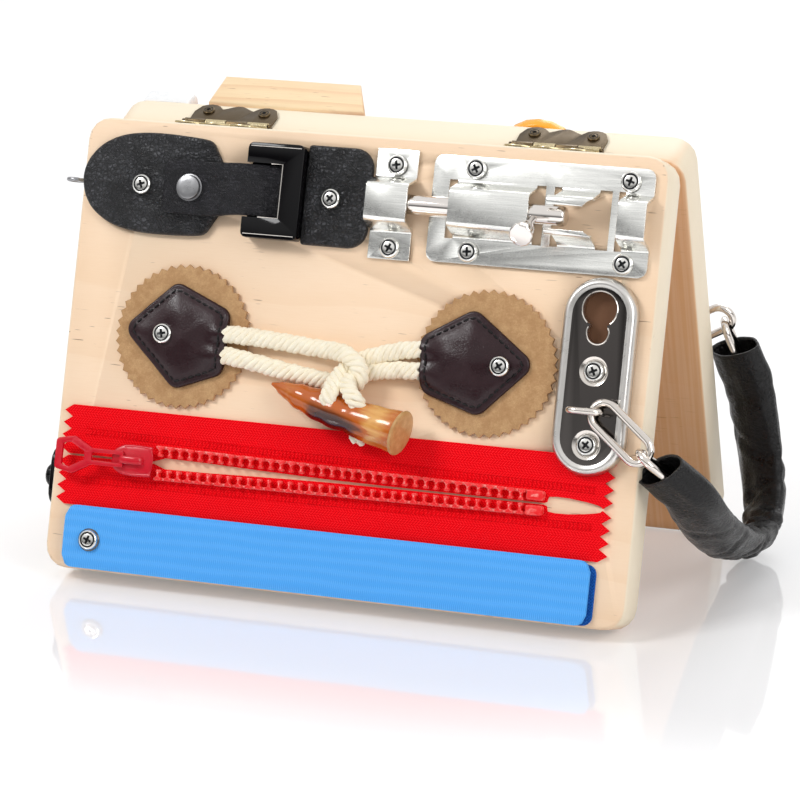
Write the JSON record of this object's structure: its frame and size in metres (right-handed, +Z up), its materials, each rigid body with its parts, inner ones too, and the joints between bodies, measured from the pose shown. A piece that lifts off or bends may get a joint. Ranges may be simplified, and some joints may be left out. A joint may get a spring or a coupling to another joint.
{
  "type": "busy board",
  "caption": "Two hinged wooden panels standing as a tent, with a snap strap, barrel bolt, horn toggle, zip, hook-and-loop strap and sleeved chain for practising fastenings.",
  "frame": {"origin": "on the floor, at the middle of the bounding box's bottom face, measured without the chain's sleeve and the other cords; the hinge line runs above it", "axes": "+X runs along the hinge line to the right as seen from the front panel's side, -Y is the way that the front panel faces, +Z is up"},
  "size_m": [0.2352, 0.1302, 0.1525],
  "materials": {
    "pine": "sanded pale pine, clear matt finish",
    "block_wood": "sanded warm pine",
    "brushed_steel": "brushed along its length",
    "chrome": "polished",
    "nickel": "nickel plated, worn bright",
    "black_nickel": "dark mirror plating",
    "gunmetal": "dark satin plating",
    "gold_plate": "dull gold plating",
    "bronze": "dark antique plating",
    "black_leather": "fine grain, matt",
    "gloss_black": "glossy",
    "tan_suede": "suede nap, pinked edge",
    "brown_leather": "smooth, stitched near its edge",
    "cream_rope": "twisted cotton cord",
    "amber_horn": "polished, streaked",
    "red_tape": "woven tape",
    "red_teeth": "moulded",
    "red_gloss": "gloss paint",
    "light_blue": "brushed loop pile",
    "dark_blue": "hook tape",
    "sleeve_black": "soft coated sleeve, creased",
    "white_plastic": "moulded",
    "orange_plastic": "moulded"
  },
  "bodies": {
    "front_panel": {"front_board": "pine", "bolt_keeper": "brushed_steel", "bolt_plate": "brushed_steel", "left_pad_screw": "brushed_steel", "right_pad_screw": "brushed_steel", "keeper_screw_1": "brushed_steel", "keeper_screw_2": "brushed_steel", "bolt_plate_screw_1": "brushed_steel", "bolt_plate_screw_2": "brushed_steel", "bolt_plate_screw_3": "brushed_steel", "bolt_plate_screw_4": "brushed_steel", "chain_plate_screw_1": "brushed_steel", "chain_plate_screw_2": "brushed_steel", "front_chain_staple": "nickel", "front_chain_link": "nickel", "front_chain_link_2": "nickel", "screw_eye": "nickel", "front_chain_plate": "black_nickel", "front_hinge_leaf_left": "gold_plate", "front_hinge_leaf_right": "gold_plate", "hinge_pin_left": "bronze", "hinge_pin_right": "bronze", "buckle_left_pad": "black_leather", "buckle_right_pad": "black_leather", "buckle_case": "gloss_black", "side_button": "gloss_black", "toggle_left_backing": "tan_suede", "toggle_right_backing": "tan_suede", "toggle_left_patch": "brown_leather", "toggle_right_patch": "brown_leather", "toggle_loop_cord": "cream_rope", "toggle_tie_cord_upper": "cream_rope", "toggle_tie_cord_lower": "cream_rope", "zip_upper_tape": "red_tape", "zip_lower_tape": "red_tape", "zip_upper_teeth": "red_teeth", "zip_lower_teeth": "red_teeth", "strap_root": "light_blue", "strap_hook_tape": "dark_blue", "chain_sleeve": "sleeve_black"},
    "bolt_rod": {"bolt_rod": "chrome"},
    "bolt_knob": {"bolt_knob": "chrome"},
    "zip_slider": {"zip_slider": "red_gloss"},
    "zip_pull": {"zip_pull": "red_gloss"},
    "loop_strap": {"strap_loop_tape": "light_blue"},
    "snap_strap": {"buckle_strap": "black_leather", "buckle_stud": "gunmetal"},
    "horn": {"toggle_horn": "amber_horn"},
    "switch_rocker": {"switch_rocker": "white_plastic"},
    "wheel": {"wheel": "orange_plastic"},
    "rear_panel": {"rear_board": "pine", "rear_hinge_leaf_left": "bronze", "rear_hinge_leaf_right": "bronze", "wood_block": "block_wood", "switch_housing": "white_plastic", "wheel_screw": "brushed_steel", "rear_chain_plate": "black_nickel", "rear_chain_staple": "nickel", "rear_chain_link": "nickel", "rear_chain_link_2": "nickel"}
  },
  "joints": [
    {"name": "board_fold", "type": "hinge", "parent": "front_panel", "child": "rear_panel", "pos_m": [0, 0.00147, 0.14311], "axis": [1, 0, 0], "range_deg": [-38, 142], "deforming": ["chain_sleeve"]},
    {"name": "bolt_slide", "type": "slide", "parent": "front_panel", "child": "bolt_rod", "axis": [1, 0, 0], "range_m": [0, 0.022]},
    {"name": "bolt_turn", "type": "hinge", "parent": "bolt_rod", "child": "bolt_knob", "pos_m": [0.059, -0.02525, 0.12756], "axis": [1, 0, 0], "range_deg": [-100, 40]},
    {"name": "snap_lift", "type": "hinge", "parent": "front_panel", "child": "snap_strap", "pos_m": [-0.0286, -0.0228, 0.12761], "axis": [0, 0.3256, 0.9455], "range_deg": [0, 60]},
    {"name": "horn_swing", "type": "hinge", "parent": "front_panel", "child": "horn", "pos_m": [0.00276, -0.04962, 0.06393], "axis": [0, -0.9455, 0.3256], "range_deg": [-2, 18], "deforming": ["toggle_tie_cord_upper", "toggle_tie_cord_lower"]},
    {"name": "zip_slide", "type": "slide", "parent": "front_panel", "child": "zip_slider", "axis": [1, 0, 0], "range_m": [0, 0.125]},
    {"name": "zip_pull_flip", "type": "hinge", "parent": "zip_slider", "child": "zip_pull", "pos_m": [-0.07335, -0.05576, 0.04203], "axis": [0, 0.3256, 0.9455], "range_deg": [0, 165]},
    {"name": "strap_peel", "type": "hinge", "parent": "front_panel", "child": "loop_strap", "pos_m": [-0.0787, -0.06197, 0.0154], "axis": [0, -0.3256, -0.9455], "range_deg": [0, 150]},
    {"name": "switch_rock", "type": "hinge", "parent": "rear_panel", "child": "switch_rocker", "pos_m": [-0.086, 0.02751, 0.13536], "axis": [1, 0, 0], "range_deg": [-8, 8]},
    {"name": "wheel_spin", "type": "hinge", "parent": "rear_panel", "child": "wheel", "pos_m": [0.044, 0.02205, 0.13031], "axis": [0, 0.9455, 0.3256], "continuous": true}
  ]
}
